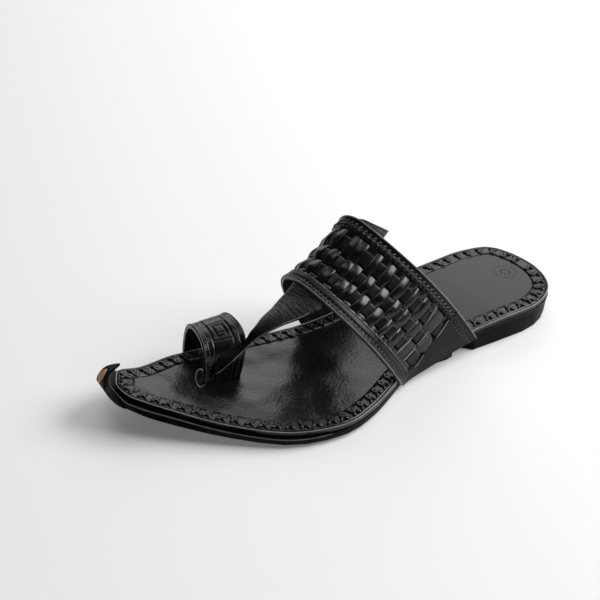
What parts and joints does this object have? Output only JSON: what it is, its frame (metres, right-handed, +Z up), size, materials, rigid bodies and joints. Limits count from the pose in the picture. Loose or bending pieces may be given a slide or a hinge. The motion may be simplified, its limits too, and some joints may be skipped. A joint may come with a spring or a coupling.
{
  "type": "kolhapuri sandal",
  "caption": "Flat leather slip-on sandal with a woven instep band, a toe ring joined to it by a link strap, a low stacked heel and a pointed sole whose tip curls up.",
  "frame": {"origin": "middle of the sandal's bounding box in plan, on the floor that the heel and the forefoot stand on", "axes": "+Z up, toe towards -Y and heel towards +Y, the outer (lateral) side of the left foot towards +X"},
  "size_m": [0.1052, 0.2924, 0.0897],
  "materials": {
    "sole_leather": "black burnished edge",
    "insole_leather": "black, semi-gloss, fine grain",
    "heel_leather": "black waxed edge",
    "tread_rubber": "matte",
    "upper_leather": "black, glossy"
  },
  "bodies": {
    "root": {"outsole": "sole_leather", "insole": "insole_leather", "heel": "heel_leather", "forefoot_tread": "tread_rubber", "upper": "upper_leather"}
  },
  "joints": []
}
